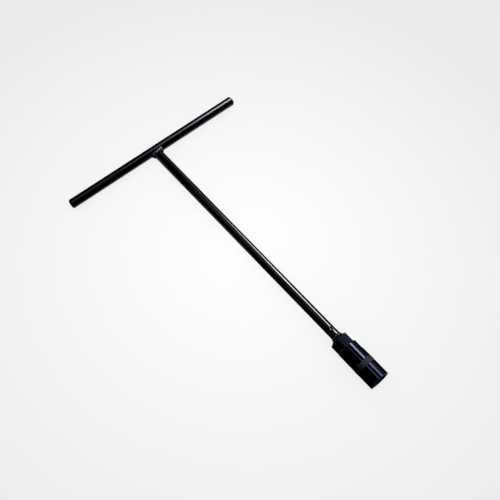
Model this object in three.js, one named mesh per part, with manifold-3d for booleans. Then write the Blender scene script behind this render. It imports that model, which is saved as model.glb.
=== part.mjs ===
// T-handle wrench with a deep plug socket held on a square tang by a sprung ball.
// Units are millimetres, +Z is up. The tool is described with its cross bar's axis on x = 0 and its shank along +X,
// and the whole group is then moved so that the origin is under the middle of the tool, on the surface it lies on.
import * as THREE from 'three';
import { mergeVertices } from 'three/addons/utils/BufferGeometryUtils.js';
import Module from 'manifold-3d';

const wasm = await Module();
wasm.setup();

// ---- driving dimensions -------------------------------------------------------------------------------------------
const GAP = 0.3;                 // running and assembly gap between neighbouring solids

const ROD_R = 5.0;               // cross bar and shank are the same round stock, 10 mm across
const BAR_LEN = 214.0;           // cross bar, end to end
const BAR_CHAMFER = 0.85;

const X_SHANK_START = ROD_R + GAP;   // square-cut shank end butts against the bar
const X_COLLAR = 277.6;          // handle side of the stop collar
const COLLAR_LEN = 1.7;
const COLLAR_R = 5.85;
const SHANK_FLARE_R = 5.22;      // shank swells a little just before the collar
const X_SHOULDER = X_COLLAR + COLLAR_LEN;   // collar face that the socket seats against

const DIMPLE_X = 269.4;          // pressed dimple in the shank, on the +Z side
const DIMPLE_BALL_R = 3.0;
const DIMPLE_DEPTH = 0.7;

const TANG_AF = 8.0;             // square tang milled from the 10 mm rod, corners left round
const TANG_LEN = 12.7;
const TANG_CHAMFER = 0.8;
const X_TANG_END = X_SHOULDER + TANG_LEN;

const BALL_R = 1.5;              // detent ball
const BALL_PROUD = 0.45;         // how far the ball stands out of the tang's flat
const X_BALL = X_SHOULDER + 6.6;
const POCKET_R = 1.8;            // ball pocket, drilled from the +Z flat
const POCKET_DEPTH = 6.2;
const POCKET_LIP_R = 1.3;        // peened lip that keeps the ball in
const SPRING_R = 1.1;            // coil spring, mean radius
const SPRING_WIRE_R = 0.2;
const SPRING_TURNS = 4.5;

const X_SOCKET = X_SHOULDER + GAP;   // top face of the socket
const X_OPEN = 335.5;            // open end of the socket
const HEX_AF = 19.6;             // outside hexagon, flats square to Z
const X_HEX_END = 292.6;
const HEX_TOP_R = 6.3;           // the 30 degree chamfer starts from this radius
const BARREL_R = 10.75;
const BARREL_CHAMFER = 0.45;
const BAND_X0 = 312.4;           // knurled band
const BAND_X1 = 318.2;
const BAND_R = 10.92;

const DRIVE_AF = TANG_AF + 2 * GAP;  // square drive hole
const DRIVE_CORNER_R = ROD_R + GAP + 0.05;
const X_DRIVE_END = X_TANG_END + 1.0;
const SEAT_R = 1.85;             // ball seat in the drive hole's +Z wall
const SEAT_TOP = DRIVE_AF / 2 + 0.65;
const GROOVE_TOP = DRIVE_AF / 2 + 0.4;   // lead-in groove from the socket's top face to the seat
const GROOVE_HALF = 1.5;
const BORE_R = 7.3;              // bore that holds the rubber sleeve
const X_RECESS = 315.5;          // bottom of the six-point recess
const RECESS_AF = 16.0;          // six-point recess across flats
const RECESS_MOUTH_R = 9.5;

const SLEEVE_R = BORE_R - GAP;   // rubber sleeve
const SLEEVE_X0 = 298.0;
const SLEEVE_X1 = 313.6;
const SLEEVE_BORE_R = 5.1;
const SLEEVE_LIP_R = 4.7;

const ROUND = 56;                // sides on the large round surfaces

// ---- helpers --------------------------------------------------------------------------------------------------------
function toManifold(geometry) {
  let g = geometry.clone();
  g.deleteAttribute('normal');
  g.deleteAttribute('uv');
  g = mergeVertices(g, 1e-4);
  // triangles that lost an edge when their corners were merged are dropped
  const index = g.index.array;
  const keep = [];
  for (let i = 0; i < index.length; i += 3) {
    const [p, q, r] = [index[i], index[i + 1], index[i + 2]];
    if (p !== q && q !== r && p !== r) keep.push(p, q, r);
  }
  return new wasm.Manifold(new wasm.Mesh({
    numProp: 3,
    vertProperties: new Float32Array(g.attributes.position.array),
    triVerts: new Uint32Array(keep),
  }));
}

function fromManifold(solid) {
  const mesh = solid.getMesh();
  const g = new THREE.BufferGeometry();
  const n = mesh.numProp;
  const count = mesh.vertProperties.length / n;
  const pos = new Float32Array(count * 3);
  for (let i = 0; i < count; i++) {
    for (let k = 0; k < 3; k++) pos[3 * i + k] = mesh.vertProperties[n * i + k];
  }
  g.setAttribute('position', new THREE.BufferAttribute(pos, 3));
  g.setIndex(new THREE.BufferAttribute(new Uint32Array(mesh.triVerts), 1));
  g.computeVertexNormals();
  return g;
}

// closed solid of revolution about +X: profile is a list of [x, radius], from axis to axis or closed on itself
function turned(profile, sides = ROUND) {
  const pts = profile.map(([x, r]) => new THREE.Vector2(r, x));
  const g = new THREE.LatheGeometry(pts, sides);
  g.rotateZ(-Math.PI / 2);
  return solidFrom(g);
}

// makes a manifold, turning the triangles over if they came out facing inwards
function solidFrom(g) {
  let s = toManifold(g);
  if (s.volume() < 0) {
    const f = g.index ? g.clone() : mergeVertices(g.clone());
    const a = f.index.array;
    for (let i = 0; i < a.length; i += 3) { const t = a[i]; a[i] = a[i + 2]; a[i + 2] = t; }
    s = toManifold(f);
  }
  return s;
}

function rodX(x0, x1, r, sides = ROUND) {
  return turned([[x0, 0], [x0, r], [x1, r], [x1, 0]], sides);
}

function box(x0, x1, y0, y1, z0, z1) {
  const g = new THREE.BoxGeometry(x1 - x0, y1 - y0, z1 - z0);
  g.translate((x0 + x1) / 2, (y0 + y1) / 2, (z0 + z1) / 2);
  return toManifold(g);
}

function sphere(x, y, z, r, w = 28, h = 18) {
  const g = new THREE.SphereGeometry(r, w, h);
  g.translate(x, y, z);
  return toManifold(g);
}

// hexagonal prism along +X with flats square to Z
function hexX(x0, x1, af) {
  const R = af / Math.sqrt(3);
  const s = new THREE.Shape();
  for (let i = 0; i < 6; i++) {
    const a = (Math.PI / 3) * i;
    if (i === 0) s.moveTo(R * Math.cos(a), R * Math.sin(a));
    else s.lineTo(R * Math.cos(a), R * Math.sin(a));
  }
  s.closePath();
  const g = new THREE.ExtrudeGeometry(s, { depth: x1 - x0, bevelEnabled: false, steps: 1 });
  // shape x -> +Y, shape y -> +Z, depth -> +X
  const m = new THREE.Matrix4().makeBasis(new THREE.Vector3(0, 1, 0), new THREE.Vector3(0, 0, 1), new THREE.Vector3(1, 0, 0));
  g.applyMatrix4(m);
  g.translate(x0, 0, 0);
  return solidFrom(g);
}

const group = new THREE.Group();
const half = (X_OPEN - ROD_R) / 2;       // middle of the tool along X
const tool = new THREE.Group();
tool.position.set(-half, 0, BAND_R);     // lowest point, under the knurled band, is at z = 0
group.add(tool);

function add(name, geometry, material) {
  const mesh = new THREE.Mesh(geometry, new THREE.MeshStandardMaterial(material));
  mesh.name = name;
  tool.add(mesh);
  return mesh;
}

const BLACK = { color: 0x0b0c10, roughness: 0.18, metalness: 0.6 };
const WELD = { color: 0x101116, roughness: 0.4, metalness: 0.6 };
const STEEL = { color: 0xb9bcc0, roughness: 0.25, metalness: 1.0 };
const RUBBER = { color: 0x151515, roughness: 0.85, metalness: 0.0 };

// ---- cross bar: straight round bar along Y with chamfered ends --------------------------------------------------------
{
  const h = BAR_LEN / 2;
  const c = BAR_CHAMFER;
  const g = new THREE.LatheGeometry([
    new THREE.Vector2(0, -h), new THREE.Vector2(ROD_R - c, -h), new THREE.Vector2(ROD_R, -h + c),
    new THREE.Vector2(ROD_R, h - c), new THREE.Vector2(ROD_R - c, h), new THREE.Vector2(0, h),
  ], 48);
  add('cross_bar', fromManifold(solidFrom(g)), BLACK);
}

// ---- weld bead: lumpy closed ring in the corner between the bar and the shank end -------------------------------------
{
  const nu = 56, nv = 14;
  const pos = [];
  const idx = [];
  const lump = (p) => 0.16 * Math.sin(5 * p + 0.7) + 0.12 * Math.sin(11 * p + 2.1) + 0.08 * Math.sin(17 * p + 0.3);
  for (let i = 0; i < nu; i++) {
    const p = (2 * Math.PI * i) / nu;
    const side = Math.cos(p) * Math.cos(p);
    const rr = 4.15 + 1.35 * side + 0.5 * lump(p + 1);
    const xx = 4.4 + 1.1 * side;
    const rad = 2.05 + lump(p);
    for (let j = 0; j < nv; j++) {
      const q = (2 * Math.PI * j) / nv;
      const r = rr + rad * Math.cos(q);
      pos.push(xx + rad * Math.sin(q), r * Math.cos(p), r * Math.sin(p));
    }
  }
  for (let i = 0; i < nu; i++) {
    const i2 = (i + 1) % nu;
    for (let j = 0; j < nv; j++) {
      const j2 = (j + 1) % nv;
      const a = i * nv + j, b = i2 * nv + j, c = i2 * nv + j2, d = i * nv + j2;
      idx.push(a, b, c, a, c, d);
    }
  }
  const g = new THREE.BufferGeometry();
  g.setAttribute('position', new THREE.BufferAttribute(new Float32Array(pos), 3));
  g.setIndex(idx);
  let bead = solidFrom(g);
  const barClear = new THREE.CylinderGeometry(ROD_R + GAP, ROD_R + GAP, 40, 64);
  bead = bead.subtract(toManifold(barClear));
  bead = bead.subtract(rodX(X_SHANK_START - GAP, 20, ROD_R + GAP, 64));
  add('t_weld', fromManifold(bead), WELD);
}

// ---- shank: round rod, flare, stop collar, and the square tang with its ball pocket -----------------------------------
{
  let shank = turned([
    [X_SHANK_START, 0],
    [X_SHANK_START, ROD_R - 0.2],
    [X_SHANK_START + 0.2, ROD_R],
    [X_COLLAR - 4.0, ROD_R],
    [X_COLLAR - 1.2, ROD_R + 0.08],
    [X_COLLAR - 0.1, SHANK_FLARE_R],
    [X_COLLAR, SHANK_FLARE_R + 0.1],
    [X_COLLAR + 0.35, COLLAR_R - 0.12],
    [X_COLLAR + 0.75, COLLAR_R],
    [X_SHOULDER - 0.35, COLLAR_R],
    [X_SHOULDER, COLLAR_R - 0.3],
    [X_SHOULDER, 0],
  ], 48);
  let tang = turned([
    [X_SHOULDER - 1.0, 0],
    [X_SHOULDER - 1.0, ROD_R],
    [X_TANG_END - TANG_CHAMFER, ROD_R],
    [X_TANG_END, ROD_R - TANG_CHAMFER],
    [X_TANG_END, 0],
  ], 48);
  const h = TANG_AF / 2;
  tang = tang.intersect(box(X_SHOULDER - 2, X_TANG_END + 1, -h, h, -h, h));
  shank = shank.add(tang);
  shank = shank.subtract(sphere(DIMPLE_X, 0, ROD_R + DIMPLE_BALL_R - DIMPLE_DEPTH, DIMPLE_BALL_R, 40, 28));
  // ball pocket, drilled down from the +Z flat, with its lip turned in over the ball
  const top = h;
  const pocketProfile = [
    new THREE.Vector2(0, top - POCKET_DEPTH),
    new THREE.Vector2(POCKET_R, top - POCKET_DEPTH),
    new THREE.Vector2(POCKET_R, top - 0.75),
    new THREE.Vector2(1.57, top - 0.4),
    new THREE.Vector2(POCKET_LIP_R, top),
    new THREE.Vector2(POCKET_LIP_R, top + 1),
    new THREE.Vector2(0, top + 1),
  ];
  const pocket = new THREE.LatheGeometry(pocketProfile, 28);
  pocket.rotateX(Math.PI / 2);
  pocket.translate(X_BALL, 0, 0);
  shank = shank.subtract(solidFrom(pocket));
  add('shank', fromManifold(shank), BLACK);
}

// ---- detent ball ----------------------------------------------------------------------------------------------------
const BALL_Z = TANG_AF / 2 + BALL_PROUD - BALL_R;
add('detent_ball', fromManifold(sphere(X_BALL, 0, BALL_Z, BALL_R, 24, 16)), STEEL);

// ---- detent spring: round-wire coil between the pocket's floor and the ball -------------------------------------------
{
  const z0 = TANG_AF / 2 - POCKET_DEPTH + GAP + SPRING_WIRE_R;
  // the last coil sits against the underside of the ball, a little off its centre line
  const z1 = BALL_Z - Math.sqrt((BALL_R + SPRING_WIRE_R + 0.12) ** 2 - SPRING_R ** 2);
  class Helix extends THREE.Curve {
    getPoint(t, target = new THREE.Vector3()) {
      const a = 2 * Math.PI * SPRING_TURNS * t;
      return target.set(X_BALL + SPRING_R * Math.cos(a), SPRING_R * Math.sin(a), z0 + (z1 - z0) * t);
    }
  }
  const section = new THREE.Shape();
  const sides = 6;
  for (let i = 0; i < sides; i++) {
    const a = (2 * Math.PI * i) / sides;
    if (i === 0) section.moveTo(SPRING_WIRE_R * Math.cos(a), SPRING_WIRE_R * Math.sin(a));
    else section.lineTo(SPRING_WIRE_R * Math.cos(a), SPRING_WIRE_R * Math.sin(a));
  }
  section.closePath();
  const g = new THREE.ExtrudeGeometry(section, { steps: 72, bevelEnabled: false, extrudePath: new Helix() });
  add('detent_spring', fromManifold(solidFrom(g)), STEEL);
}

// ---- socket: hexagon, barrel, knurled band, square drive hole, bore and six-point recess ------------------------------
{
  const hexR = HEX_AF / Math.sqrt(3);
  const rise = (r) => (r - HEX_TOP_R) * Math.tan(Math.PI / 6);
  // 30 degree chamfers on both ends of the hexagon
  let head = hexX(X_SOCKET, X_HEX_END, HEX_AF);
  head = head.intersect(turned([
    [X_SOCKET, 0],
    [X_SOCKET, HEX_TOP_R],
    [X_SOCKET + rise(hexR + 0.5), hexR + 0.5],
    [X_HEX_END - 0.55, hexR + 0.5],
    [X_HEX_END, BARREL_R - 0.25],
    [X_HEX_END, 0],
  ], 72));
  const barrel = turned([
    [X_HEX_END - 2.0, 0],
    [X_HEX_END - 2.0, HEX_AF / 2 - 1.0],
    [X_HEX_END - 0.9, HEX_AF / 2 - 0.15],
    [X_HEX_END - 0.1, BARREL_R - 0.1],
    [X_HEX_END + 0.15, BARREL_R],
    [BAND_X0, BARREL_R],
    [BAND_X0 + 0.17, BAND_R],
    [BAND_X1 - 0.17, BAND_R],
    [BAND_X1, BARREL_R],
    [X_OPEN - BARREL_CHAMFER, BARREL_R],
    [X_OPEN, BARREL_R - BARREL_CHAMFER],
    [X_OPEN, 0],
  ], 72);
  let socket = head.add(barrel);

  // square drive hole with rounded corners and a small entry chamfer
  const d = DRIVE_AF / 2;
  let drive = rodX(X_SOCKET - 1, X_DRIVE_END + 0.5, DRIVE_CORNER_R, 48)
    .intersect(box(X_SOCKET - 2, X_DRIVE_END + 1, -d, d, -d, d));
  socket = socket.subtract(drive);
  // lead-in groove and ball seat in the +Z wall
  socket = socket.subtract(box(X_SOCKET - 1, X_BALL, -GROOVE_HALF, GROOVE_HALF, 0, GROOVE_TOP));
  const seat = new THREE.CylinderGeometry(SEAT_R, SEAT_R, SEAT_TOP, 28);
  seat.rotateX(Math.PI / 2);
  seat.translate(X_BALL, 0, SEAT_TOP / 2);
  socket = socket.subtract(toManifold(seat));
  // bore for the rubber sleeve, with coned ends
  socket = socket.subtract(turned([
    [X_DRIVE_END, 0],
    [X_DRIVE_END, DRIVE_CORNER_R - 0.2],
    [X_DRIVE_END + 1.6, BORE_R],
    [X_RECESS + 0.5, BORE_R],
    [X_RECESS + 0.5, 0],
  ], 56));
  // six-point recess with a coned mouth and a coned floor
  const R = RECESS_AF / Math.sqrt(3);
  socket = socket.subtract(hexX(X_RECESS, X_OPEN + 1, RECESS_AF));
  socket = socket.subtract(turned([
    [X_OPEN - (RECESS_MOUTH_R - RECESS_AF / 2) * 0.8, 0],
    [X_OPEN - (RECESS_MOUTH_R - RECESS_AF / 2) * 0.8, RECESS_AF / 2],
    [X_OPEN, RECESS_MOUTH_R],
    [X_OPEN + 1, RECESS_MOUTH_R],
    [X_OPEN + 1, 0],
  ], 72));
  add('socket', fromManifold(socket), BLACK);
}

// ---- rubber grip sleeve in the bore -----------------------------------------------------------------------------------
{
  const sleeve = turned([
    [SLEEVE_X0, SLEEVE_LIP_R + 0.4],
    [SLEEVE_X0, SLEEVE_R - 0.4],
    [SLEEVE_X0 + 0.4, SLEEVE_R],
    [SLEEVE_X1 - 0.4, SLEEVE_R],
    [SLEEVE_X1, SLEEVE_R - 0.4],
    [SLEEVE_X1, SLEEVE_BORE_R + 0.7],
    [SLEEVE_X1 - 1.2, SLEEVE_BORE_R],
    [SLEEVE_X0 + 7.5, SLEEVE_BORE_R],
    [SLEEVE_X0 + 6.5, SLEEVE_LIP_R],
    [SLEEVE_X0 + 5.0, SLEEVE_LIP_R],
    [SLEEVE_X0 + 4.0, SLEEVE_BORE_R],
    [SLEEVE_X0 + 0.8, SLEEVE_LIP_R],
    [SLEEVE_X0, SLEEVE_LIP_R + 0.4],
  ], 40);
  add('grip_sleeve', fromManifold(sleeve), RUBBER);
}

export default group;
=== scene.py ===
"""Visual model of a black T-handle wrench with a deep plug socket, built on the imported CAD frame."""
import math

import bmesh
import bpy
import numpy as np
from mathutils import Matrix, Vector


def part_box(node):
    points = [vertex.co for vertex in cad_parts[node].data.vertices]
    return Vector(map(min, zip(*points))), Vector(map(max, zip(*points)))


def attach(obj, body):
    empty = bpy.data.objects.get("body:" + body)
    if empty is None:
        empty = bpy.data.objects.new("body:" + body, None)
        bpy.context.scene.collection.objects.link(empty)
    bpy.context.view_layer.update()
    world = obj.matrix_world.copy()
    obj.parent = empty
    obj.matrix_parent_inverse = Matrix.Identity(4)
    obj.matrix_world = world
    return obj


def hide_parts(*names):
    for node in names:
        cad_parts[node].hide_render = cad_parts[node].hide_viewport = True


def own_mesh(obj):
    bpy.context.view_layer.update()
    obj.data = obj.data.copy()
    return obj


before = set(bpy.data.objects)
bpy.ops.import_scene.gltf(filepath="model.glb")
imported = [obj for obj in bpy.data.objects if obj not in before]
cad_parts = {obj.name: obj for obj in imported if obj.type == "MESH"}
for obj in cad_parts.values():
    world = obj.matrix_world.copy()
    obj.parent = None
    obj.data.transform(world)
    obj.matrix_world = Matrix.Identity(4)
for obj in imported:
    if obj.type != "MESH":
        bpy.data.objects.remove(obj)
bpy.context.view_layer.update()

# ---------------------------------------------------------------------------------------------------------------------
# where the frame says things are. D turns design millimetres (bar axis at x = 0, shank axis at y = z = 0) into the row
# frame's metres.
# ---------------------------------------------------------------------------------------------------------------------
MM = 0.001
bar_lo, bar_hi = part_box("cross_bar")
soc_lo, soc_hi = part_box("socket")
shk_lo, shk_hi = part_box("shank")
ball_lo, ball_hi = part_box("detent_ball")
spr_lo, spr_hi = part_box("detent_spring")
slv_lo, slv_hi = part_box("grip_sleeve")

ROD_R = (bar_hi.x - bar_lo.x) / 2 / MM
OX = (bar_lo.x + bar_hi.x) / 2          # row x of the bar's axis
OZ = (bar_lo.z + bar_hi.z) / 2          # row z of the bar's and the shank's axis
BAR_HALF = bar_hi.y / MM


def X(row_x):
    return (row_x - OX) / MM


X_SHANK = X(shk_lo.x)
X_TANG_END = X(shk_hi.x)
X_SOCKET = X(soc_lo.x)
X_OPEN = X(soc_hi.x)
BALL_R = (ball_hi.z - ball_lo.z) / 2 / MM
X_BALL = X((ball_lo.x + ball_hi.x) / 2)
Z_BALL = ((ball_lo.z + ball_hi.z) / 2 - OZ) / MM
X_SHOULDER = X_SOCKET - 0.3
X_COLLAR = X_SHOULDER - 1.7
X_HEX_END = X_SOCKET + 13.0
X_BAND0 = X_SOCKET + 32.8
X_BAND1 = X_SOCKET + 38.6
X_RECESS = X_SOCKET + 35.9
X_DRIVE_END = X_TANG_END + 1.0
X_DIMPLE = X_SOCKET - 10.2
HEX_AF = 19.6
RECESS_AF = 16.0
BARREL_R = 10.75
COLLAR_R = 5.85
TANG_H = 4.0
DRIVE_H = 4.3


def to_row(v):
    """Design millimetres, shape (n, 3), to row-frame metres."""
    v = np.asarray(v, float) * MM
    v = v + np.array([OX, 0.0, OZ])
    return v


# ---------------------------------------------------------------------------------------------------------------------
# mesh helpers
# ---------------------------------------------------------------------------------------------------------------------
def make_object(name, verts_mm, faces, smooth_angle=32.0):
    me = bpy.data.meshes.new(name)
    me.from_pydata([tuple(p) for p in to_row(verts_mm)], [], [tuple(f) for f in faces])
    me.validate()
    bm = bmesh.new()
    bm.from_mesh(me)
    bmesh.ops.remove_doubles(bm, verts=bm.verts, dist=1e-7)
    bmesh.ops.dissolve_degenerate(bm, edges=bm.edges, dist=1e-8)
    bmesh.ops.recalc_face_normals(bm, faces=bm.faces)
    ang = math.radians(smooth_angle)
    for e in bm.edges:
        e.smooth = e.calc_face_angle(0.0) < ang
    for f in bm.faces:
        f.smooth = True
    bm.to_mesh(me)
    bm.free()
    o = bpy.data.objects.new(name, me)
    bpy.context.scene.collection.objects.link(o)
    return o


def grid_faces(rows, cols, wrap_rows=False, base=0):
    """Quads of a rows x cols grid that always closes round its columns."""
    f = []
    last = rows if wrap_rows else rows - 1
    for i in range(last):
        a = base + i * cols
        b = base + ((i + 1) % rows) * cols
        for j in range(cols):
            k = (j + 1) % cols
            f.append((a + j, a + k, b + k, b + j))
    return f


def stations_to_mesh(stations, phi, axis="x", wrap=True, caps=False):
    """stations: list of (x, r), each a number or an array over phi. Returns vertices and faces of the swept surface."""
    n = len(phi)
    c, s = np.cos(phi), np.sin(phi)
    verts = []
    for x, r in stations:
        x = np.broadcast_to(np.asarray(x, float), n)
        r = np.broadcast_to(np.asarray(r, float), n)
        if axis == "x":
            verts.append(np.stack([x, r * c, r * s], 1))
        else:
            verts.append(np.stack([r * s, x, r * c], 1))
    v = np.concatenate(verts)
    f = grid_faces(len(stations), n, wrap_rows=wrap)
    if caps:
        f.append(tuple(range(n))[::-1])
        k = (len(stations) - 1) * n
        f.append(tuple(range(k, k + n)))
    return v, f


def round_corner(p0, p1, p2, r, k=4):
    """Points of a small arc that rounds the corner p1 between p0 and p2."""
    p0, p1, p2 = map(lambda p: np.array(p, float), (p0, p1, p2))
    a, b = p0 - p1, p2 - p1
    la, lb = np.linalg.norm(a), np.linalg.norm(b)
    a, b = a / la, b / lb
    ang = math.acos(max(-1.0, min(1.0, float(a @ b))))
    d = min(r / math.tan(ang / 2), 0.45 * la, 0.45 * lb)
    rr = d * math.tan(ang / 2)
    m = a + b
    if np.linalg.norm(m) < 0.05:
        return [tuple(p1)]
    m /= np.linalg.norm(m)
    c = p1 + m * (rr / math.sin(ang / 2))
    s, e = p1 + a * d - c, p1 + b * d - c
    out = []
    om = math.acos(max(-1.0, min(1.0, float(s @ e) / (np.linalg.norm(s) * np.linalg.norm(e)))))
    if om < 0.05:
        return [tuple(p1)]
    for i in range(k + 1):
        t = i / k
        q = (math.sin((1 - t) * om) * s + math.sin(t * om) * e) / math.sin(om)
        out.append(tuple(c + q))
    return out


def rounded(profile, r, closed=False):
    """A profile of (x, r) points with each inner corner rounded."""
    out = []
    n = len(profile)
    for i, p in enumerate(profile):
        if not closed and i in (0, n - 1):
            out.append(tuple(p))
            continue
        rr = r[i] if isinstance(r, (list, tuple)) else r
        if rr <= 0:
            out.append(tuple(p))
        else:
            out += round_corner(profile[i - 1], p, profile[(i + 1) % n], rr)
    return out


def add_blob(verts, faces, centre, radii, normal, seed=0, k=10):
    """A small closed lump, such as a paint nib or a bead of weld spatter, half sunk in a surface."""
    n = Vector(normal).normalized()
    q = n.to_track_quat("Z", "Y").to_matrix()
    rng = np.random.default_rng(seed)
    base = len(verts)
    m = 2 * k
    pts = [Vector((0, 0, radii[2]))]
    for i in range(1, k):
        th = math.pi * i / k
        for j in range(m):
            ph = 2 * math.pi * j / m
            w = 1 + 0.06 * math.sin(3 * ph + seed) + 0.02 * rng.standard_normal()
            pts.append(Vector((radii[0] * w * math.sin(th) * math.cos(ph), radii[1] * w * math.sin(th) * math.sin(ph), radii[2] * math.cos(th))))
    pts.append(Vector((0, 0, -radii[2])))
    verts.extend([tuple(q @ p + Vector(centre)) for p in pts])
    for j in range(m):
        faces.append((base, base + 1 + j, base + 1 + (j + 1) % m))
    for i in range(k - 2):
        for j in range(m):
            a = base + 1 + i * m
            b = a + m
            faces.append((a + j, b + j, b + (j + 1) % m, a + (j + 1) % m))
    a = base + 1 + (k - 2) * m
    tip = base + 1 + (k - 1) * m
    for j in range(m):
        faces.append((a + (j + 1) % m, a + j, tip))


def linspace(a, b, step):
    n = max(1, int(math.ceil(abs(b - a) / step)))
    return [a + (b - a) * i / n for i in range(n + 1)]


# ---------------------------------------------------------------------------------------------------------------------
# materials
# ---------------------------------------------------------------------------------------------------------------------
def new_material(name):
    m = bpy.data.materials.new(name)
    m.use_nodes = True
    nt = m.node_tree
    nt.nodes.clear()
    out = nt.nodes.new("ShaderNodeOutputMaterial")
    p = nt.nodes.new("ShaderNodeBsdfPrincipled")
    nt.links.new(p.outputs["BSDF"], out.inputs["Surface"])
    return m, nt, p


def coords(nt, scale=(1, 1, 1), rot=(0, 0, 0)):
    tc = nt.nodes.new("ShaderNodeTexCoord")
    mp = nt.nodes.new("ShaderNodeMapping")
    mp.inputs["Scale"].default_value = scale
    mp.inputs["Rotation"].default_value = rot
    nt.links.new(tc.outputs["Object"], mp.inputs["Vector"])
    return mp.outputs["Vector"]


def noise(nt, vec, scale, detail=4.0, rough=0.55, distortion=0.0):
    n = nt.nodes.new("ShaderNodeTexNoise")
    n.inputs["Scale"].default_value = scale
    n.inputs["Detail"].default_value = detail
    n.inputs["Roughness"].default_value = rough
    n.inputs["Distortion"].default_value = distortion
    nt.links.new(vec, n.inputs["Vector"])
    return n.outputs["Fac"]


def remap(nt, value, a, b, lo, hi, smooth=False):
    r = nt.nodes.new("ShaderNodeMapRange")
    if smooth:
        r.interpolation_type = "SMOOTHSTEP"
    r.inputs["From Min"].default_value = a
    r.inputs["From Max"].default_value = b
    r.inputs["To Min"].default_value = lo
    r.inputs["To Max"].default_value = hi
    nt.links.new(value, r.inputs["Value"])
    return r.outputs["Result"]


def maths(nt, op, a, b=None, clamp=False):
    m = nt.nodes.new("ShaderNodeMath")
    m.operation = op
    m.use_clamp = clamp
    for i, v in enumerate((a, b)):
        if v is None:
            continue
        if isinstance(v, (int, float)):
            m.inputs[i].default_value = v
        else:
            nt.links.new(v, m.inputs[i])
    return m.outputs[0]


def mix_color(nt, fac, a, b):
    m = nt.nodes.new("ShaderNodeMix")
    m.data_type = "RGBA"
    if isinstance(fac, (int, float)):
        m.inputs["Factor"].default_value = fac
    else:
        nt.links.new(fac, m.inputs["Factor"])
    for key, v in (("A", a), ("B", b)):
        sock = [s for s in m.inputs if s.name == key and s.type == "RGBA"][0]
        if isinstance(v, (tuple, list)):
            sock.default_value = (*v[:3], 1)
        else:
            nt.links.new(v, sock)
    return [s for s in m.outputs if s.type == "RGBA"][0]


def bump(nt, height, strength, distance, normal=None):
    b = nt.nodes.new("ShaderNodeBump")
    b.inputs["Strength"].default_value = strength
    b.inputs["Distance"].default_value = distance
    nt.links.new(height, b.inputs["Height"])
    if normal is not None:
        nt.links.new(normal, b.inputs["Normal"])
    return b.outputs["Normal"]


def black_finish(name, dark, light, rough, edge=(0.16, 0.17, 0.19), along=(1, 1, 1), peel=0.10, wear=1.0, ring=False, vary=1.0):
    """Gloss blackened steel: dark metallic tone that drifts a little, fine drawing lines, a faint ripple, brighter worn edges."""
    m, nt, p = new_material(name)
    base = coords(nt)
    streak = coords(nt, scale=along)
    cloud = noise(nt, base, 55.0, 3.0)
    lines = noise(nt, streak, 900.0, 3.0, 0.6)
    grain = noise(nt, base, 2600.0, 2.0, 0.5)
    tone = mix_color(nt, remap(nt, cloud, 0.3, 0.7, 0.0, 1.0, True), dark, light)
    # worn edges: convex edges are slightly brighter and rougher, broken up by the cloud
    geo = nt.nodes.new("ShaderNodeNewGeometry")
    edge_fac = remap(nt, geo.outputs["Pointiness"], 0.515, 0.58, 0.0, 1.0, True)
    edge_fac = maths(nt, "MULTIPLY", edge_fac, remap(nt, noise(nt, base, 700.0, 3.0), 0.35, 0.65, 0.25, 0.8))
    edge_fac = maths(nt, "MULTIPLY", edge_fac, wear, clamp=True)
    colour = mix_color(nt, edge_fac, tone, edge)
    if ring:
        # the stop collar gets a lighter, warmer metal tone and more roughness, broken up by noise
        sep = nt.nodes.new("ShaderNodeSeparateXYZ")
        nt.links.new(base, sep.inputs[0])
        x0, x1 = (X_COLLAR + 0.15) * MM + OX, (X_SHOULDER + 0.1) * MM + OX
        up = remap(nt, sep.outputs["X"], x0, x0 + 0.0004, 0.0, 1.0, True)
        dn = remap(nt, sep.outputs["X"], x1, x1 + 0.0002, 1.0, 0.0, True)
        collar_tone_fac = maths(nt, "MULTIPLY", maths(nt, "MULTIPLY", up, dn), remap(nt, noise(nt, base, 420.0, 3.0), 0.3, 0.6, 0.55, 1.0))
        colour = mix_color(nt, collar_tone_fac, colour, (0.105, 0.100, 0.096))
    # hairline rubs
    rub = nt.nodes.new("ShaderNodeTexNoise")
    rub.inputs["Scale"].default_value = 120.0
    rub.inputs["Detail"].default_value = 5.0
    rub.inputs["Distortion"].default_value = 1.6
    nt.links.new(coords(nt, scale=(1.0, 1.0, 1.0), rot=(0.4, 0.2, 0.9)), rub.inputs["Vector"])
    hair = maths(nt, "ABSOLUTE", maths(nt, "SUBTRACT", rub.outputs["Fac"], 0.5))
    hair = remap(nt, hair, 0.0, 0.006, 1.0, 0.0, True)
    hair = maths(nt, "MULTIPLY", hair, 0.2)
    r = maths(nt, "ADD", remap(nt, lines, 0.3, 0.7, rough - 0.025 * vary, rough + 0.03 * vary), remap(nt, cloud, 0.3, 0.7, -0.015 * vary, 0.02 * vary))
    r = maths(nt, "ADD", r, maths(nt, "MULTIPLY", hair, 0.14))
    r = maths(nt, "ADD", r, maths(nt, "MULTIPLY", edge_fac, 0.10), clamp=True)
    if ring:
        r = maths(nt, "ADD", r, maths(nt, "MULTIPLY", collar_tone_fac, 0.26), clamp=True)
    nt.links.new(colour, p.inputs["Base Color"])
    nt.links.new(r, p.inputs["Roughness"])
    p.inputs["Metallic"].default_value = 1.0
    n1 = bump(nt, noise(nt, base, 230.0, 2.0), peel, 0.00012)
    n2 = bump(nt, lines, 0.03, 0.00002, n1)
    n3 = bump(nt, grain, 0.02, 0.00001, n2)
    nt.links.new(n3, p.inputs["Normal"])
    return m


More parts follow.
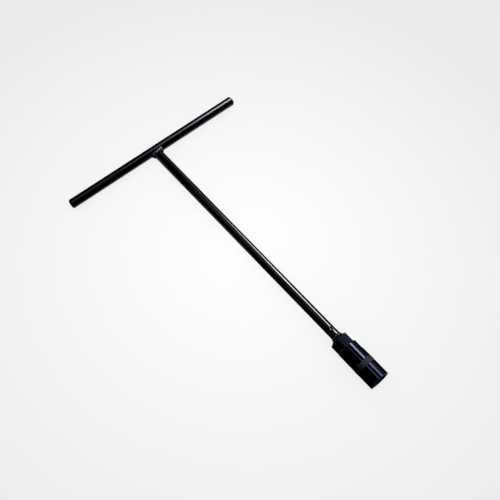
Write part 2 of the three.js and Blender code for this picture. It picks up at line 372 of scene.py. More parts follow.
def knurl_finish(name):
    """Knurled band: crests rubbed grey, grooves dark and matt."""
    m, nt, p = new_material(name)
    base = coords(nt)
    geo = nt.nodes.new("ShaderNodeNewGeometry")
    crest = remap(nt, geo.outputs["Pointiness"], 0.47, 0.56, 0.0, 1.0, True)
    crest = maths(nt, "MULTIPLY", crest, remap(nt, noise(nt, base, 300.0, 3.0), 0.3, 0.7, 0.6, 1.0))
    colour = mix_color(nt, crest, (0.040, 0.044, 0.060), (0.27, 0.285, 0.34))
    nt.links.new(colour, p.inputs["Base Color"])
    nt.links.new(remap(nt, noise(nt, base, 1500.0, 3.0), 0.3, 0.7, 0.40, 0.56), p.inputs["Roughness"])
    p.inputs["Metallic"].default_value = 1.0
    nt.links.new(bump(nt, noise(nt, base, 3000.0, 2.0), 0.15, 0.00002), p.inputs["Normal"])
    return m


def weld_finish(name):
    """Blackened weld metal: same finish, a little rougher, with fine ripple and scale specks, and a painted glint on
    the lump tops.
    """
    m, nt, p = new_material(name)
    base = coords(nt)
    cloud = noise(nt, base, 380.0, 4.0)
    colour = mix_color(nt, remap(nt, cloud, 0.35, 0.65, 0.0, 1.0, True), (0.035, 0.038, 0.047), (0.095, 0.10, 0.112))
    geo = nt.nodes.new("ShaderNodeNewGeometry")
    # painted glint: convex lump tops (high pointiness) get a lighter colour
    painted_glint_fac = remap(nt, geo.outputs["Pointiness"], 0.50, 0.60, 0.0, 0.6, True)
    colour = mix_color(nt, painted_glint_fac, colour, (0.26, 0.262, 0.27))
    nt.links.new(colour, p.inputs["Base Color"])
    nt.links.new(remap(nt, cloud, 0.3, 0.7, 0.20, 0.36), p.inputs["Roughness"])
    p.inputs["Metallic"].default_value = 1.0
    n1 = bump(nt, noise(nt, base, 900.0, 4.0), 0.35, 0.00008)
    nt.links.new(bump(nt, noise(nt, base, 4000.0, 2.0), 0.15, 0.00002, n1), p.inputs["Normal"])
    return m


def steel_finish(name, tint=(0.60, 0.60, 0.61), rough=0.16):
    """Bright ground steel with faint grease staining."""
    m, nt, p = new_material(name)
    base = coords(nt)
    stain = noise(nt, base, 900.0, 4.0)
    colour = mix_color(nt, remap(nt, stain, 0.4, 0.7, 0.0, 0.8, True), tint, (0.36, 0.34, 0.31))
    nt.links.new(colour, p.inputs["Base Color"])
    nt.links.new(remap(nt, noise(nt, base, 2600.0, 3.0), 0.3, 0.7, rough - 0.05, rough + 0.12), p.inputs["Roughness"])
    p.inputs["Metallic"].default_value = 1.0
    nt.links.new(bump(nt, noise(nt, base, 5000.0, 2.0), 0.1, 0.00001), p.inputs["Normal"])
    return m


def rubber_finish(name):
    """Moulded black rubber with talc-grey bloom and fine pores."""
    m, nt, p = new_material(name)
    base = coords(nt)
    bloom = noise(nt, base, 260.0, 5.0)
    colour = mix_color(nt, remap(nt, bloom, 0.35, 0.75, 0.0, 1.0, True), (0.022, 0.022, 0.023), (0.060, 0.060, 0.062))
    nt.links.new(colour, p.inputs["Base Color"])
    nt.links.new(remap(nt, bloom, 0.3, 0.7, 0.62, 0.82), p.inputs["Roughness"])
    nt.links.new(bump(nt, noise(nt, base, 3200.0, 3.0), 0.3, 0.00004), p.inputs["Normal"])
    return m


MAT_BAR = black_finish("black_bar", (0.040, 0.046, 0.056), (0.050, 0.057, 0.069), 0.15, along=(1, 0.05, 1), peel=0.02)
MAT_SHANK = black_finish("black_shank", (0.090, 0.091, 0.096), (0.110, 0.111, 0.117), 0.14, along=(0.05, 1, 1), peel=0.02, ring=True)
MAT_SOCKET = black_finish("black_socket", (0.028, 0.033, 0.050), (0.034, 0.040, 0.060), 0.10, along=(1.0, 0.3, 0.3), peel=0.02, vary=0.3)
MAT_KNURL = knurl_finish("black_knurl")
MAT_WELD = weld_finish("black_weld")
MAT_STEEL = steel_finish("bright_steel")
MAT_RUBBER = rubber_finish("black_rubber")


def finish_piece(o, material, body, replaces=()):
    o.data.materials.clear()
    o.data.materials.append(material)
    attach(o, body)
    if replaces:
        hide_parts(*replaces)
    return o


# ---------------------------------------------------------------------------------------------------------------------
# cross bar
# ---------------------------------------------------------------------------------------------------------------------
def build_cross_bar():
    h, c, R = BAR_HALF, 0.85, ROD_R
    prof = [(-h, 0.35), (-h + 0.03, 1.2), (-h + 0.02, R - c), (-h + c, R), (h - c, R), (h - 0.02, R - c), (h - 0.03, 1.2), (h, 0.35)]
    prof = rounded(prof, [0, 0.3, 0.16, 0.2, 0.2, 0.16, 0.3, 0])
    st = []
    for i, (x, r) in enumerate(prof):
        st.append((x, r))
        if i + 1 < len(prof) and abs(prof[i + 1][0] - x) > 5:
            st += [(q, r) for q in linspace(x, prof[i + 1][0], 2.0)[1:-1]]
    phi = np.linspace(0, 2 * math.pi, 128, endpoint=False)
    out = []
    for x, r in st:
        # drawn bar is never perfectly straight or round: a few hundredths of a millimetre
        w = 0.008 * math.sin(x / 27.0 + 0.6)
        out.append((x, r * (1 + w / ROD_R * min(1.0, r / ROD_R)) + 0.004 * np.sin(3 * phi + x / 60.0) * (r > 3)))
    v, f = stations_to_mesh(out, phi, axis="y", wrap=False, caps=True)
    v, f = [tuple(p) for p in v], list(f)
    # a nib in the finish near one end, and a few beads of spatter near the joint
    def on_bar(y, ang):
        return (ROD_R * math.sin(ang), y, ROD_R * math.cos(ang))
    for k, (y, ang, s) in enumerate([(-91.7, 0.35, 0.42), (-16.5, 0.95, 0.34), (-13.2, 0.35, 0.26), (14.8, 1.05, 0.30), (19.5, 0.62, 0.22), (-24.0, -0.4, 0.2), (12.5, -1.2, 0.3)]):
        nrm = (math.sin(ang), 0, math.cos(ang))
        add_blob(v, f, on_bar(y, ang), (s, s * 1.1, s * 0.62), nrm, seed=k + 3)
    return make_object("cross_bar_piece", v, f, 40)


# ---------------------------------------------------------------------------------------------------------------------
# shank: rod, dimple, flare, collar, square tang
# ---------------------------------------------------------------------------------------------------------------------
def build_shank():
    phi = np.linspace(0, 2 * math.pi, 168, endpoint=False)
    c, s = np.cos(phi), np.sin(phi)
    st = [(X_SHANK - 0.6, 0.5), (X_SHANK - 0.6, 2.5), (X_SHANK - 0.6, ROD_R - 0.4), (X_SHANK - 0.2, ROD_R)]
    xs = linspace(X_SHANK, X_DIMPLE - 3.2, 2.0) + linspace(X_DIMPLE - 3.2, X_DIMPLE + 3.2, 0.13)[1:] + linspace(X_DIMPLE + 3.2, X_COLLAR - 4.2, 0.4)[1:]
    for x in xs:
        w = 0.008 * math.sin(x / 31.0)
        near = math.exp(-((x - X_COLLAR + 2) / 9.0) ** 2)
        # hammered, slightly out-of-round stretch next to the collar
        wob = near * (0.045 * np.sin(2 * phi + x / 3.1) + 0.03 * np.sin(5 * phi - x / 2.3) + 0.05 * math.sin(x / 1.9))
        st.append((x, ROD_R + w + wob))
    neck = [(X_COLLAR - 3.4, ROD_R + 0.03), (X_COLLAR - 2.2, ROD_R + 0.07), (X_COLLAR - 1.2, ROD_R + 0.14), (X_COLLAR - 0.5, ROD_R + 0.24),
            (X_COLLAR - 0.15, ROD_R + 0.36), (X_COLLAR + 0.1, ROD_R + 0.55), (X_COLLAR + 0.35, COLLAR_R - 0.14), (X_COLLAR + 0.6, COLLAR_R - 0.04),
            (X_COLLAR + 0.9, COLLAR_R), (X_COLLAR + 1.2, COLLAR_R - 0.02), (X_SHOULDER - 0.2, COLLAR_R - 0.12), (X_SHOULDER - 0.05, COLLAR_R - 0.28),
            (X_SHOULDER, COLLAR_R - 0.45), (X_SHOULDER, ROD_R + 0.1)]
    for k, (x, r) in enumerate(neck):
        st.append((x, r + 0.02 * np.sin(7 * phi + k) + 0.015 * np.sin(13 * phi + 2 * k)))
    # square tang, corners left round from the rod
    p = 40.0
    def tang(h, corner):
        flat = h / ((np.abs(c) ** p + np.abs(s) ** p) ** (1 / p))
        return np.minimum(flat, corner)
    st.append((X_SHOULDER + 0.02, tang(TANG_H + 0.18, ROD_R)))
    st.append((X_SHOULDER + 0.15, tang(TANG_H + 0.05, ROD_R)))
    for x in linspace(X_SHOULDER + 0.3, X_TANG_END - 0.8, 0.15):
        r = tang(TANG_H, ROD_R - 0.02)
        y, z = r * c, r * s
        d = np.sqrt((x - X_BALL) ** 2 + y ** 2)
        up = s > 0.6
        # ball pocket with its peened ring
        ring = 0.05 * np.exp(-((d - 1.75) / 0.16) ** 2) - 0.10 * np.exp(-((d - 1.5) / 0.12) ** 2)
        hole = np.where(d < 1.34, -0.9 * np.clip((1.34 - d) / 0.16, 0, 1), 0.0)
        r = np.where(up, r + (ring + hole) / np.maximum(s, 0.5), r)
        st.append((x, r))
    st += [(X_TANG_END - 0.75, tang(TANG_H, ROD_R - 0.06)), (X_TANG_END - 0.1, tang(TANG_H - 0.02, ROD_R - 0.7)), (X_TANG_END, tang(TANG_H - 0.12, ROD_R - 0.86)),
           (X_TANG_END, tang(TANG_H - 1.2, ROD_R - 1.8)), (X_TANG_END, 0.5)]
    v, f = stations_to_mesh(st, phi, wrap=False, caps=True)
    v = np.array(v)
    # pressed dimple: a ball 3 mm in radius pushed 0.7 mm in, rim slightly raised
    dx, y, z = v[:, 0] - X_DIMPLE, v[:, 1], v[:, 2]
    d = np.sqrt(dx ** 2 + y ** 2)
    m = (z > 2.0) & (d < 3.4)
    zc = ROD_R + 3.0 - 0.7
    ball = zc - np.sqrt(np.maximum(9.0 - d ** 2, 0.0))
    ball = np.where(d < 3.0, ball, 99.0)
    rim = 0.05 * np.exp(-((d - 2.15) / 0.32) ** 2)
    kk = 0.10
    hh = np.clip(0.5 + 0.5 * (ball - (z + rim)) / kk, 0, 1)
    soft = ball * (1 - hh) + (z + rim) * hh - kk * hh * (1 - hh)
    v[:, 2] = np.where(m & (d < 3.0), soft, z + np.where(m, rim, 0))
    return make_object("shank_piece", v, f, 38)


# ---------------------------------------------------------------------------------------------------------------------
# weld bead: overlapping pools of metal laid round the joint, melted together by a remesh
# ---------------------------------------------------------------------------------------------------------------------
def build_weld():
    rng = np.random.default_rng(11)
    v, f = [], []
    n = 19
    for i in range(n):
        p = 2 * math.pi * (i + 0.15 * rng.uniform(-1, 1)) / n
        side = math.cos(p) ** 2
        rr = 4.25 + 1.15 * side + rng.uniform(-0.15, 0.2)
        xx = 4.6 + 0.85 * side + rng.uniform(-0.2, 0.2)
        rad = 1.72 + 0.25 * side + rng.uniform(-0.22, 0.26)
        q = math.radians(45 * side)
        nrm = Vector((math.sin(math.pi / 4), math.cos(p) * math.cos(math.pi / 4), math.sin(p) * math.cos(math.pi / 4)))
        add_blob(v, f, (xx, rr * math.cos(p), rr * math.sin(p)), (rad * 1.08, rad * 0.95, rad * 1.02), nrm, seed=i)
    # prouder pools and glassy droplets where the torch stopped
    for (x, y, z, r) in [(3.6, 4.9, 2.9, 1.95), (6.1, -1.9, 4.25, 1.7), (3.9, -5.4, 2.8, 1.3), (5.4, 6.2, 0.3, 1.4), (4.7, -6.0, -0.4, 1.15), (3.6, 1.4, 4.45, 1.2), (6.4, 0.6, -4.4, 1.3), (3.9, -2.2, -4.6, 1.4)]:
        add_blob(v, f, (x, y, z), (r, r, r), (0.4, y * 0.15, z * 0.15), seed=int(10 * x))
    # core that joins the pools
    for i in range(40):
        p = 2 * math.pi * i / 40
        side = math.cos(p) ** 2
        rr = 4.0 + 1.1 * side
        add_blob(v, f, (4.3 + 0.8 * side, rr * math.cos(p), rr * math.sin(p)), (1.55, 1.55, 1.55), (1, 0, 0), seed=i, k=7)
    o = make_object("t_weld_piece", v, f, 180)
    md = o.modifiers.new("melt", "REMESH")
    md.mode = "VOXEL"
    md.voxel_size = 0.26 * MM
    sm = o.modifiers.new("flow", "SMOOTH")
    sm.factor = 0.5
    sm.iterations = 4
    dg = bpy.context.evaluated_depsgraph_get()
    me = bpy.data.meshes.new_from_object(o.evaluated_get(dg))
    old = o.data
    o.modifiers.clear()
    o.data = me
    bpy.data.meshes.remove(old)
    for poly in me.polygons:
        poly.use_smooth = True
    # ripples of the solidified bead, as real relief
    co = np.zeros(len(me.vertices) * 3)
    me.vertices.foreach_get("co", co)
    co = co.reshape(-1, 3)
    no = np.zeros(len(me.vertices) * 3)
    me.vertices.foreach_get("normal", no)
    no = no.reshape(-1, 3)
    loc = (co - np.array([OX, 0, OZ])) / MM
    ang = np.arctan2(loc[:, 2], loc[:, 1])
    rip = 0.07 * np.sin(34 * ang + 0.9 * loc[:, 0] + 1.5 * np.sin(3 * ang)) + 0.03 * np.sin(61 * ang - 1.7 * loc[:, 0])
    co = co + no * (rip * MM)[:, None]
    me.vertices.foreach_set("co", co.ravel())
    me.update()
    return o


# ---------------------------------------------------------------------------------------------------------------------
# socket body and its knurled band
# ---------------------------------------------------------------------------------------------------------------------
def hex_r(phi, af, p=60.0):
    """Radius of a hexagon with flats square to Z and softly rounded corners."""
    t = np.zeros_like(phi)
    for k in range(6):
        t = t + np.maximum(np.cos(phi - math.radians(30 + 60 * k)), 0.0) ** p
    return (af / 2) / t ** (1 / p)


def build_socket():
    n = 360
    phi = np.linspace(0, 2 * math.pi, n, endpoint=False)
    c, s = np.cos(phi), np.sin(phi)
    H = hex_r(phi, HEX_AF, 70.0)
    t30 = math.tan(math.pi / 6)
    st = []
    # drive hole mouth and top face
    def drive(h=DRIVE_H, corner=5.35):
        flat = h / ((np.abs(c) ** 40 + np.abs(s) ** 40) ** (1 / 40))
        return np.minimum(flat, corner)

    def drive_at(x):
        r = drive()
        sup = np.maximum(s, 0.3)
        # lead-in groove
        if x <= X_BALL + 0.01:
            g = 4.7 / sup
            r = np.where((s > 0.6) & (np.abs(g * c) < 1.5), np.maximum(r, g), r)
        # ball seat
        g = 4.95 / sup
        inside = (s > 0.6) & ((x - X_BALL) ** 2 + (g * c) ** 2 < 1.85 ** 2)
        return np.where(inside, np.maximum(r, g), r)

    mouth = drive_at(X_SOCKET)
    st.append((X_SOCKET + 0.25, mouth))
    st.append((X_SOCKET + 0.02, np.maximum(mouth + 0.22, 5.0)))
    st.append((X_SOCKET, np.maximum(mouth + 0.3, 5.9)))
    st.append((X_SOCKET, 6.2))
    st.append((X_SOCKET + 0.02, 6.3))
    # 30 degree chamfer on the hexagon's top
    for t in np.linspace(0.06, 0.985, 16):
        r = 6.3 + (H - 6.3) * t
        st.append((X_SOCKET + (r - 6.3) * t30, r))
    top = X_SOCKET + (H - 6.3) * t30
    st.append((top + 0.03, H - 0.02))
    st.append((top + 0.12, H))
    # foot of the hexagon: barrel shoulder shows as crescents over the flats, and the corners are relieved
    foot = np.where(H < 10.62, X_HEX_END - 0.9 + (H - 9.65) * 0.85, X_HEX_END - 0.55 + (11.75 - H) * 0.42)
    for t in np.linspace(0.06, 0.97, 12):
        st.append((top + 0.12 + (foot - top - 0.12) * t, H))
    st.append((foot, H - 0.004))
    st.append((np.maximum(foot + 0.10, X_HEX_END - 0.75), np.where(H < 10.62, np.minimum(H + 0.09, 10.6), H - 0.12)))
    st.append((X_HEX_END - 0.28, np.where(H < 10.62, np.maximum(10.2, np.minimum(H + 0.15, 10.5)), np.minimum(H - 0.2, 10.9))))
    st.append((X_HEX_END - 0.06, 10.58))
    st.append((X_HEX_END + 0.04, 10.69))
    st.append((X_HEX_END + 0.16, 10.74))
    st.append((X_HEX_END + 0.34, BARREL_R))
    for x in linspace(X_HEX_END + 0.8, X_BAND0 - 0.4, 1.6):
        st.append((x, BARREL_R + 0.004 * np.sin(4 * phi + x / 5)))
    st += [(X_BAND0 - 0.10, BARREL_R), (X_BAND0 + 0.04, BARREL_R - 0.06), (X_BAND0 + 0.2, BARREL_R - 0.2), (X_BAND1 - 0.2, BARREL_R - 0.2),
           (X_BAND1 - 0.04, BARREL_R - 0.06), (X_BAND1 + 0.10, BARREL_R)]
    for x in linspace(X_BAND1 + 0.5, X_OPEN - 0.8, 1.6):
        st.append((x, BARREL_R + 0.004 * np.sin(4 * phi + x / 5)))
    # open end: rounded chamfer, ring face, coned mouth
    rim = rounded([(X_OPEN - 0.7, BARREL_R), (X_OPEN - 0.45, BARREL_R), (X_OPEN, BARREL_R - 0.45), (X_OPEN, 9.5), (X_OPEN - 0.6, 9.0)], [0, 0.25, 0.25, 0.12, 0])
    for x, r in rim[:-1]:
        st.append((x, r))
    Q = hex_r(phi, RECESS_AF, 160.0)
    for t in np.linspace(0.15, 1.0, 6):
        r = 9.47 + (Q - 9.47) * t
        st.append((X_OPEN - 0.03 - (9.47 - r) * 0.8, r))
    lip = X_OPEN - 0.03 - (9.47 - Q) * 0.8
    for t in np.linspace(0.04, 1.0, 12):
        st.append((lip + (X_RECESS - lip) * t, Q))
    st.append((X_RECESS, np.minimum(Q - 0.3, 7.6)))
    st += [(X_RECESS - 0.1, 7.38), (X_RECESS - 0.4, 7.3), (X_DRIVE_END + 12, 7.3), (X_DRIVE_END + 1.7, 7.3), (X_DRIVE_END + 1.5, 7.15),
           (X_DRIVE_END + 0.1, 5.4)]
    st.append((X_DRIVE_END, np.minimum(drive() + 0.05, 5.34)))
    for x in linspace(X_DRIVE_END - 0.2, X_BALL + 2.2, 0.6):
        st.append((x, drive_at(x)))
    for x in linspace(X_BALL + 2.0, X_BALL - 2.0, 0.16):
        st.append((x, drive_at(x)))
    for x in linspace(X_BALL - 2.4, X_SOCKET + 0.5, 0.8):
        st.append((x, drive_at(x)))
    v, f = stations_to_mesh(st, phi, wrap=True)
    return make_object("socket_piece", v, f, 30)


def build_knurl():
    """Diamond knurl rolled into a band that stands a little proud of the barrel."""
    teeth = 66
    n = teeth * 10
    phi = np.linspace(0, 2 * math.pi, n, endpoint=False)
    pitch = 2 * math.pi * 10.9 / teeth
    st = []
    base, top = BARREL_R - 0.02, BARREL_R + 0.19
    st.append((X_BAND0 + 0.1, BARREL_R - 0.5))
    st.append((X_BAND0 - 0.02, BARREL_R - 0.1))
    xs = linspace(X_BAND0, X_BAND1, 0.105)
    for x in xs:
        e = min(x - X_BAND0, X_BAND1 - x)
        env = 1 - math.exp(-(e / 0.16) ** 1.5)
        u = (phi * 10.9 + (x - X_BAND0) * 0.9) / pitch
        w = (phi * 10.9 - (x - X_BAND0) * 0.9) / pitch
        tu = np.abs(((u + 0.5) % 1) - 0.5) * 2
        tw = np.abs(((w + 0.5) % 1) - 0.5) * 2
        dia = np.minimum(tu, tw)
        dia = np.minimum(dia * 1.35, 0.92 + 0.08 * dia)
        st.append((x, (BARREL_R - 0.1) + env * (base - BARREL_R + 0.1 + (top - base) * dia)))
    st.append((X_BAND1 + 0.02, BARREL_R - 0.1))
    st.append((X_BAND1 - 0.1, BARREL_R - 0.5))
    v, f = stations_to_mesh(st, phi, wrap=True)
    return make_object("socket_knurl_band", v, f, 60)


# ---------------------------------------------------------------------------------------------------------------------
# rubber sleeve, ball and spring
# ---------------------------------------------------------------------------------------------------------------------
def build_sleeve():
    x0, x1 = X(slv_lo.x), X(slv_hi.x)
    R = slv_hi.y / MM
    phi = np.linspace(0, 2 * math.pi, 216, endpoint=False)
    ribs = 0.5 + 0.5 * np.cos(9 * phi)
    prof = rounded([(x0 + 1.0, R), (x1 - 0.4, R), (x1, R - 0.45), (x1, 5.7), (x1 - 1.2, 5.15), (x0 + 7.6, 5.12), (x0 + 6.5, 4.72), (x0 + 5.0, 4.72), (x0 + 4.0, 5.12),
                    (x0 + 1.0, 4.85), (x0, 5.1), (x0, R - 0.45), (x0 + 0.4, R)], 0.18, closed=True)
    st = []
    for x, r in prof:
        k = 1.0 if (r < 5.3 and x0 + 2 < x < x1 - 0.8) else 0.0
        st.append((x, r + k * 0.22 * ribs * (r > 4.8)))
    v, f = stations_to_mesh(st, phi, wrap=True)
    return make_object("grip_sleeve_piece", v, f, 50)


def build_ball():
    bm = bmesh.new()
    bmesh.ops.create_icosphere(bm, subdivisions=4, radius=BALL_R * MM)
    for vt in bm.verts:
        d = vt.co.normalized()
        # witness mark rubbed on the crown by the socket wall
        k = max(0.0, d.z - 0.93) / 0.07
        vt.co *= 1 - 0.004 * k - 0.0008 * math.sin(9 * d.x + 4 * d.y)
        vt.co += Vector((X_BALL * MM + OX, 0, Z_BALL * MM + OZ))
    for fc in bm.faces:
        fc.smooth = True
    me = bpy.data.meshes.new("detent_ball_piece")
    bm.to_mesh(me)
    bm.free()
    o = bpy.data.objects.new("detent_ball_piece", me)
    bpy.context.scene.collection.objects.link(o)
    return o


def build_spring():
    z0 = (spr_lo.z - OZ) / MM + 0.2
    z1 = (spr_hi.z - OZ) / MM - 0.2
    turns, R, w = 5.5, 1.1, 0.2
    k, m = 36 * 6, 14
    verts, faces = [], []
    for i in range(k + 1):
        t = i / k
        a = 2 * math.pi * turns * t
        # closed end coils
        e = min(1.0, t * turns / 1.0, (1 - t) * turns / 1.0)
        u = (3 * e * e - 2 * e ** 3)
        tt = 0.5 + (t - 0.5) * (1.0 + 0.10 * (1 - u))
        z = z0 + (z1 - z0) * min(1.0, max(0.0, tt))
        centre = np.array([X_BALL + R * math.cos(a), R * math.sin(a), z])
        rad = np.array([math.cos(a), math.sin(a), 0.0])
        up = np.array([0, 0, 1.0])
        for j in range(m):
            b = 2 * math.pi * j / m
            verts.append(tuple(centre + w * (math.cos(b) * rad + math.sin(b) * up)))
    for i in range(k):
        for j in range(m):
            a, b = i * m, (i + 1) * m
            faces.append((a + j, a + (j + 1) % m, b + (j + 1) % m, b + j))
    faces.append(tuple(range(m))[::-1])
    faces.append(tuple(range(k * m, k * m + m)))
    return make_object("detent_spring_piece", verts, faces, 60)


bar = finish_piece(build_cross_bar(), MAT_BAR, "handle", ["cross_bar"])
shank = finish_piece(build_shank(), MAT_SHANK, "handle", ["shank"])
weld = finish_piece(build_weld(), MAT_WELD, "handle", ["t_weld"])
spring = finish_piece(build_spring(), MAT_STEEL, "handle", ["detent_spring"])
ball = finish_piece(build_ball(), MAT_STEEL, "ball", ["detent_ball"])
socket = finish_piece(build_socket(), MAT_SOCKET, "socket", ["socket"])
knurl = finish_piece(build_knurl(), MAT_KNURL, "socket")
sleeve = finish_piece(build_sleeve(), MAT_RUBBER, "socket", ["grip_sleeve"])
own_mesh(spring)

# ---------------------------------------------------------------------------------------------------------------------
# floor: the tool rests on its bar and on the knurled band, so the surface under it leans by about a degree in this frame
# ---------------------------------------------------------------------------------------------------------------------
z_bar = bar_lo.z
z_soc = soc_lo.z
x_soc = (X_BAND0 + X_BAND1) / 2 * MM + OX
slope = (z_bar - z_soc) / (x_soc - OX)


def floor_z(x):
    return z_bar - (x - OX) * slope - 0.00004


me = bpy.data.meshes.new("floor")
S = 6.0
me.from_pydata([(-S, -S, floor_z(-S)), (S, -S, floor_z(S)), (S, S, floor_z(S)), (-S, S, floor_z(-S))], [], [(0, 1, 2, 3)])
floor = bpy.data.objects.new("floor", me)
bpy.context.scene.collection.objects.link(floor)
m = bpy.data.materials.new("floor_pale")
m.use_nodes = True
nt = m.node_tree
nt.nodes.clear()
out = nt.nodes.new("ShaderNodeOutputMaterial")
dif = nt.nodes.new("ShaderNodeBsdfDiffuse")
dif.inputs["Color"].default_value = (0.16, 0.16, 0.16, 1)
emi = nt.nodes.new("ShaderNodeEmission")
addn = nt.nodes.new("ShaderNodeAddShader")
tc = nt.nodes.new("ShaderNodeTexCoord")
sub = nt.nodes.new("ShaderNodeVectorMath")
sub.operation = "SUBTRACT"
CENTRE = (-0.020, 0.000, 0.0)
sub.inputs[1].default_value = CENTRE
nt.links.new(tc.outputs["Object"], sub.inputs[0])
ln = nt.nodes.new("ShaderNodeVectorMath")
ln.operation = "LENGTH"
nt.links.new(sub.outputs[0], ln.inputs[0])
# painted light: the floor glows, brightest around CENTRE and dimmer outwards, over a dim diffuse part
glow = remap(nt, ln.outputs["Value"], 0.0, 0.36, 0.877, 0.693)
nt.links.new(glow, emi.inputs["Strength"])
emi.inputs["Color"].default_value = (1.0, 1.0, 1.0, 1)
nt.links.new(dif.outputs[0], addn.inputs[0])
nt.links.new(emi.outputs[0], addn.inputs[1])
nt.links.new(addn.outputs[0], out.inputs["Surface"])
me.materials.append(m)
floor.visible_glossy = False
floor.visible_shadow = False

# ---------------------------------------------------------------------------------------------------------------------
# light
# ---------------------------------------------------------------------------------------------------------------------
world = bpy.data.worlds.new("studio")
bpy.context.scene.world = world
world.use_nodes = True
bg = world.node_tree.nodes["Background"]
bg.inputs["Color"].default_value = (1.0, 1.0, 1.0, 1)
bg.inputs["Strength"].default_value = 0.826
world.cycles_visibility.glossy = False


def P(x, y, z):
    return Vector((x * MM + OX, y * MM, z * MM + OZ))


GROUPS = {}


def group(*objects):
    """A collection of the pieces that a light falls on."""
    key = "lit_" + "_".join(o.name for o in objects)
    if key not in GROUPS:
        c = bpy.data.collections.new(key[:60])
        for o in objects:
            c.objects.link(o)
        GROUPS[key] = c
    return GROUPS[key]


def softbox(name, centre, target, size_x, size_y, radiance, colour=(1, 1, 1), roll=(1, 0, 0), on=None):
    """Rectangular area light. radiance is what a mirror would show of it."""
    l = bpy.data.lights.new(name, "AREA")
    l.shape = "RECTANGLE"
    l.size = size_x * MM
    l.size_y = size_y * MM
    l.energy = radiance * math.pi * (size_x * MM) * (size_y * MM)
    l.color = colour
    o = bpy.data.objects.new(name, l)
    bpy.context.scene.collection.objects.link(o)
    z = (centre - target).normalized()
    x = Vector(roll) - z * Vector(roll).dot(z)
    x.normalize()
    y = z.cross(x)
    o.matrix_world = Matrix.Translation(centre) @ Matrix((x, y, z)).transposed().to_4x4()
    o.visible_diffuse = False
    o.visible_camera = False
    if on is not None:
        o.light_linking.receiver_collection = on
    return o


ON_SHANK = group(shank, weld)
ON_BAR = group(bar, weld)
ON_SOCKET = group(socket, knurl, ball, spring)
T_SHANK, T_BAR, T_SOCKET = P(200, 0, 0), P(0, 0, 0), P(305, 0, 0)
COOL, NEUTRAL = (0.92, 0.955, 1.0), (1.0, 0.985, 1.0)
# shank: the key fades out towards the joint
softbox("shank_key", P(70, 520, 590), T_SHANK, 250, 240, 9.6, NEUTRAL, on=ON_SHANK)
softbox("shank_mid", P(-130, 690, 590), T_SHANK, 170, 320, 6.2, (1.0, 1.02, 1.06), on=ON_SHANK)
softbox("shank_fade", P(-275, 790, 590), T_SHANK, 110, 360, 0.75, COOL, on=ON_SHANK)
softbox("shank_far", P(-390, 740, 590), T_SHANK, 110, 560, 0.36, COOL, on=ON_SHANK)
softbox("shank_end", P(-620, 590, 590), T_SHANK, 340, 760, 0.17, (0.78, 0.90, 1.25), on=ON_SHANK)
softbox("shank_low", P(20, 0, 590), T_SHANK, 440, 560, 0.12, (0.88, 0.86, 1.2), on=ON_SHANK)
softbox("shank_under", P(-15, -158, -123), P(80, 0, 0), 210, 110, 0.30, (1.0, 1.0, 1.03), on=ON_SHANK)
# bar: grows brighter towards +Y
softbox("bar_1", P(-90, 10, 590), T_BAR, 520, 290, 0.27, (0.84, 0.90, 1.15), on=ON_BAR)
softbox("bar_2", P(-140, 190, 590), T_BAR, 420, 70, 0.48, COOL, on=ON_BAR)
softbox("bar_3", P(-150, 265, 590), T_BAR, 400, 80, 1.4, COOL, on=ON_BAR)
softbox("bar_4", P(-150, 322, 590), T_BAR, 380, 36, 2.5, COOL, on=ON_BAR)
softbox("bar_5", P(-140, 430, 590), T_BAR, 390, 180, 9.5, (1.04, 1.0, 0.97), on=ON_BAR)
softbox("bar_under", P(120, 60, -165), T_BAR, 190, 480, 0.55, (1.0, 0.97, 1.0), on=ON_BAR)
# socket: key, thin line near the view direction, and the light table seen in the far flat of the hexagon
softbox("socket_key", P(130, 392, 590), T_SOCKET, 180, 200, 10.5, (0.95, 0.965, 1.05), on=ON_SOCKET)
softbox("socket_key_end", P(300, 392, 590), T_SOCKET, 150, 200, 3.9, (0.95, 0.965, 1.05), on=ON_SOCKET)
softbox("socket_far", P(140, 900, 470), T_SOCKET, 420, 520, 0.30, (0.92, 0.92, 1.2), on=ON_SOCKET)
softbox("socket_line", P(185, -100, 590), T_SOCKET, 100, 44, 1.2, (0.92, 0.95, 1.2), on=ON_SOCKET)
softbox("socket_line_end", P(290, -75, 590), T_SOCKET, 110, 100, 1.9, (0.95, 0.97, 1.1), on=ON_SOCKET)
softbox("socket_fill", P(180, 195, 600), T_SOCKET, 420, 130, 0.12, (0.86, 0.86, 1.22), on=ON_SOCKET)
softbox("socket_shoulder", P(137, -42, -117), P(292, -9, 5), 80, 80, 2.2, (1, 1, 1), on=ON_SOCKET)
softbox("socket_side", P(257, 116, -136), P(286, 8.5, 4.9), 36, 170, 2.3, (1, 1, 1), on=ON_SOCKET)

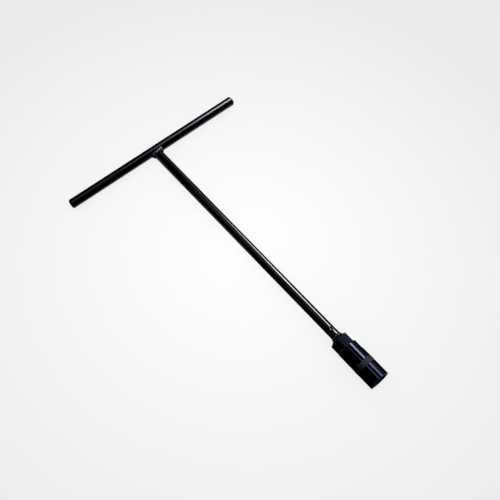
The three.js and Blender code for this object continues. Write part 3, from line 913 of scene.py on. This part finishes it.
# the rest of the studio: cards that give the gloss something to show when the tool is seen from its other sides
ON_ROUND = group(shank, socket, sleeve, ball)
ON_SOC2 = group(socket, sleeve, ball, spring)
ON_KNURL = group(knurl)
ON_SHANK2 = group(shank, ball)
ON_CROSS = group(bar, weld)
T_MID = P(170, 0, 0)
softbox("room_far", P(-1000, 0, 430), T_MID, 1400, 560, 1.9, NEUTRAL, roll=(0, 1, 0), on=ON_SOC2)
softbox("room_far_shank", P(-1000, 0, 430), T_MID, 1400, 560, 0.45, NEUTRAL, roll=(0, 1, 0), on=ON_SHANK2)
softbox("room_near", P(1300, 0, 640), T_MID, 1400, 480, 1.9, NEUTRAL, roll=(0, 1, 0), on=ON_ROUND)
softbox("table_near", P(800, 300, -330), P(335, 0, 0), 900, 420, 1.1, NEUTRAL, roll=(0, 1, 0), on=ON_ROUND)
softbox("table_far", P(-600, 0, -330), P(288, 0, 0), 1100, 260, 1.0, NEUTRAL, roll=(0, 1, 0), on=ON_SOC2)
softbox("knurl_near", P(640, 760, 330), P(310, 0, 0), 640, 260, 1.0, NEUTRAL, on=ON_KNURL)
softbox("knurl_far", P(640, -760, 330), P(310, 0, 0), 640, 260, 0.14, NEUTRAL, on=ON_KNURL)
for side in (-1, 1):
    softbox(f"side_soc_{side + 1}", P(640, 760 * side, 330), P(310, 0, 0), 640, 260, 2.2, NEUTRAL, on=ON_SOC2)
    softbox(f"side_shk_{side + 1}", P(560, 760 * side, 330), P(240, 0, 0), 760, 260, 1.3, NEUTRAL, on=ON_SHANK2)
    softbox(f"side_bar_{side + 1}", P(430 * side, -760, 420), T_BAR, 620, 300, 2.0, NEUTRAL, on=ON_CROSS)

# ---------------------------------------------------------------------------------------------------------------------
# camera
# ---------------------------------------------------------------------------------------------------------------------
cam_data = bpy.data.cameras.new("camera")
cam_data.sensor_width = 36.0
cam_data.lens = 57.6
cam_data.dof.use_dof = False
cam_data.clip_start = 0.02
cam_data.clip_end = 50
cam = bpy.data.objects.new("camera", cam_data)
bpy.context.scene.collection.objects.link(cam)
right = Vector((0.65892, 0.74993, 0.05858)).normalized()
down = Vector((0.67742, -0.55774, -0.47962))
down = (down - right * down.dot(right)).normalized()
fwd = right.cross(down).normalized()
cam.matrix_world = Matrix.Translation(P(416.18, -285.52, 698.85)) @ Matrix((right, -down, -fwd)).transposed().to_4x4()
bpy.context.scene.camera = cam
bpy.context.scene.view_settings.view_transform = "Standard"
bpy.context.scene.view_settings.look = "None"
